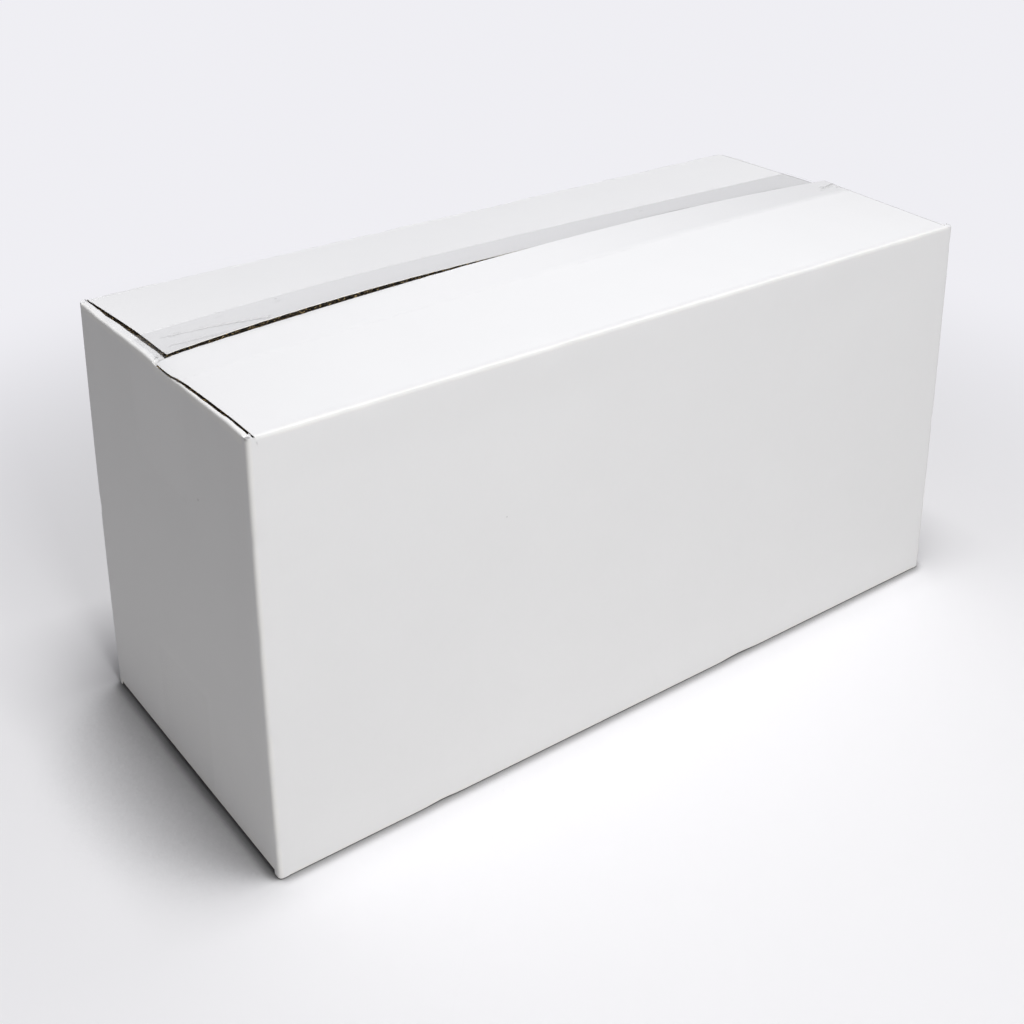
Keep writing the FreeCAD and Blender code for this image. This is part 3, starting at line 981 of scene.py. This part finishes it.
def filmSheet(name, rows, up, level, lidLeft, lidHeight, material):
    # The film from the foot of its left tail, over the carton, to the foot of its right one.
    columns = round(2 * flapEnd / tape["cell"])
    points, marks, widths = [], [], []
    for row in rows:
        left, right = lidLeft(row(-flapEnd)) - tape["air"], flapEnd + tape["air"]
        path = filmEnd(-1, left, row(-flapEnd), up, level, lidHeight)
        for k in range(columns + 1):
            x = left + (right - left) * k / columns
            path.append((x, level + up * (lidHeight(x, row(x)) + tape["air"]), None))
        tail = filmEnd(1, right, row(flapEnd), up, level, lidHeight)
        path += [(-x, z, loose) for x, z, loose in reversed(tail)]
        for x, z, loose in path:
            y = row(x)
            if loose is None:
                lift = creaseHeight(x, y) if up > 0 else 0.0
                points.append(Vector((x, y, z + up * lift)))
                marks.append(min(1.0, lift * 3.0))
            else:
                crinkle = tape["slack"] * loose * noise.noise(Vector((x / 9.0, y / 2.2, z / 9.0)))
                points.append(Vector((x - (crinkle if x > 0 else -crinkle) * 0.3, y, z + up * abs(crinkle))))
                marks.append(min(1.0, loose * (0.1 + abs(crinkle) * 1.5)))
            widths.append(min(1.0, 0.02 + abs(y - rows[0](x)) / (2 * liner["tapeHalf"]) * 0.96))
    faces = gridFaces(len(rows), len(points) // len(rows), up < 0)
    film = pieceFrom(name, points, faces, [material], [(w, 0.5) for w in widths], marks, crease=60.0)
    skin = film.modifiers.new("skin", "SOLIDIFY")
    skin.thickness = tape["film"] * mm
    skin.offset = 1.0
    return film


def makeFilm():
    material, shader, where = newMaterial("clearFilm")
    blank, crease = ownMaps(shader.id_data)
    across = partsOf(blank)[0]
    onWall = maths("LESS_THAN", partsOf(where)[2], (crest - tape["wallBelow"]) * mm)
    # The film's border is whiter: its edge, and a painted glint along it, weaker on the tails and on the front side
    edge = rampBetween(maths("ABSOLUTE", minus(across, 0.5)), *tape["edgeFrom"])
    edge = times(edge, timesPlus(onWall, tape["wallEdge"] - 1.0, 1.0))
    edge = times(edge, rampBetween(across, 0.4, 0.6, tape["frontEdgeAndGlint"], 1.0))
    cloud = cloudsAt(where, 60.0, 4.0)
    clear, cloudy = tape["roughness"]
    alpha = timesPlus(edge, tape["edgeAndGlintAlpha"], tape["filmAlpha"])
    alpha = timesPlus(times(crease, cloud), tape["creaseAlpha"], alpha)
    fill(shader, {**tape["shader"], "Roughness": timesPlus(cloud, cloudy, clear), "Alpha": alpha})
    bump(shader, cloud, *tape["bump"])
    return material


clearFilm = makeFilm()


def topTapeLeft(y):
    return leftEnd(-1 if y <= seamY else 1, min(1.0, acrossFlap(y)))


half = liner["tapeHalf"]
topRows = filmRows(lambda x: tapeMiddle(x) - half, lambda x: tapeMiddle(x) + half)
topTape = filmSheet("topTape", topRows, 1, crest, topTapeLeft, lidUnderTape, clearFilm)
bottomRows = filmRows(lambda x: -half, lambda x: half)
bottomTape = filmSheet(
    "bottomTape", bottomRows, -1, base, lambda y: -flapEnd, lambda x, y: -tape["film"], clearFilm)
print("tape:", len(topTape.data.polygons), len(bottomTape.data.polygons))

for piece in [cartonBoard] + fluteStrips:
    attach(piece, "root")
for piece in (topTape, bottomTape):
    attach(piece, "root")
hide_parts("carton_blank")
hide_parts("top_tape")
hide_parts("bottom_tape")

# Floor, light and camera
studio = {
    "floorHalf": 9,  # metres
    "floor": (0.88, 0.875, 0.89, 1.0),
    "floorBounce": (0.64, 0.63, 0.61, 1.0),  # what the floor sends back onto the carton
    "floorShader": {"Roughness": 0.8, "Specular IOR Level": 0.0, "Emission Strength": 1.0},
    # Painted contact shadow on the floor close beside the carton: reach, where the light is cut off from, open
    # share, darkest
    "paintedContactShadow": [
        (0.102, (0.8, -0.1, 0.6), 0.24, 0.67, 0.34),
        (0.007, (0.0, 0.0, 1.0), 0.55, 0.93, 0.42),
    ],
    "floorFade": (0.2, 0.62),  # where the floor begins to give way to the room's plain colour, and where it has
    "room": (0.865, 0.86, 0.9, 1.0),
    "roomLight": 0.18,
    "lamps": {  # watts, place, size
        "key": (15.8, (-0.02, -0.2, 1.65), 0.5),
        "fill": (12.3, (-0.22, -1.6, 0.8), 0.5),
    },
    "lampsLookAt": (0, 0, 0.1),
    "cameraAt": (-0.396561, -0.51577, 0.442283),
    "lookAlong": (0.546841, 0.748407, -0.375302),
    "roll": -0.2566,
    "lens": 50.9552,
    "shiftDown": 0.2,
}


def makeFloorPaint():
    material, shader, where = newMaterial("floorPaint")
    tree = shader.id_data
    seen = seenRays(tree)
    shade = 1.0
    # Painted contact shadow, darker where much of the sky is cut off close by
    for reach, facing, low, high, darkest in studio["paintedContactShadow"]:
        normal = addNode(tree, "CombineXYZ", dict(enumerate(facing))).outputs[0]
        near = addNode(tree, "AmbientOcclusion", {"Distance": reach, "Normal": normal}, samples=12)
        shade = times(rampBetween(near.outputs["AO"], low, high, darkest, 1.0), shade)
    away = addNode(tree, "VectorMath", {0: where}, operation="LENGTH").outputs["Value"]
    plainRoom = times(rampBetween(away, *studio["floorFade"]), seen)
    lit = blendColour(seen, studio["floorBounce"], shaded(studio["floor"], shade))
    nothing = (0.0, 0.0, 0.0, 1.0)
    fill(shader, {
        **studio["floorShader"],
        "Base Color": blendColour(plainRoom, lit, nothing),
        "Emission Color": blendColour(plainRoom, nothing, studio["room"]),
    })
    return material


floorMesh = bpy.data.meshes.new("floor")
far = studio["floorHalf"]
floorMesh.from_pydata([(-far, -far, 0), (far, -far, 0), (far, far, 0), (-far, far, 0)], [], [(0, 1, 2, 3)])
floorMesh.materials.append(makeFloorPaint())
floor = addObject("floor", floorMesh)

world = bpy.data.worlds.new("room")
bpy.context.scene.world = world
world.use_nodes = True
tree = world.node_tree
strength = timesPlus(seenRays(tree), 1.0 - studio["roomLight"], studio["roomLight"])
fill(tree.nodes["Background"], {"Color": studio["room"], "Strength": strength})

for name, (power, spot, size) in studio["lamps"].items():
    lamp = bpy.data.lights.new(name, "AREA")
    lamp.energy = power
    lamp.size = size
    light = addObject(name, lamp)
    light.location = spot
    towards = Vector(studio["lampsLookAt"]) - light.location
    light.rotation_euler = towards.to_track_quat("-Z", "Y").to_euler()

lens = bpy.data.cameras.new("camera")
lens.sensor_width = 36.0
lens.lens = studio["lens"]
lens.shift_y = -studio["shiftDown"]
lens.clip_start, lens.clip_end = 0.02, 60.0
camera = addObject("camera", lens)
camera.rotation_mode = "QUATERNION"
camera.location = studio["cameraAt"]
turn = Vector(studio["lookAlong"]).to_track_quat("-Z", "Y").to_matrix()
turn = turn @ Matrix.Rotation(math.radians(studio["roll"]), 3, "Z")
camera.rotation_quaternion = turn.to_quaternion()
bpy.context.scene.camera = camera
bpy.context.scene.view_settings.view_transform = "Standard"
print("studio ready")
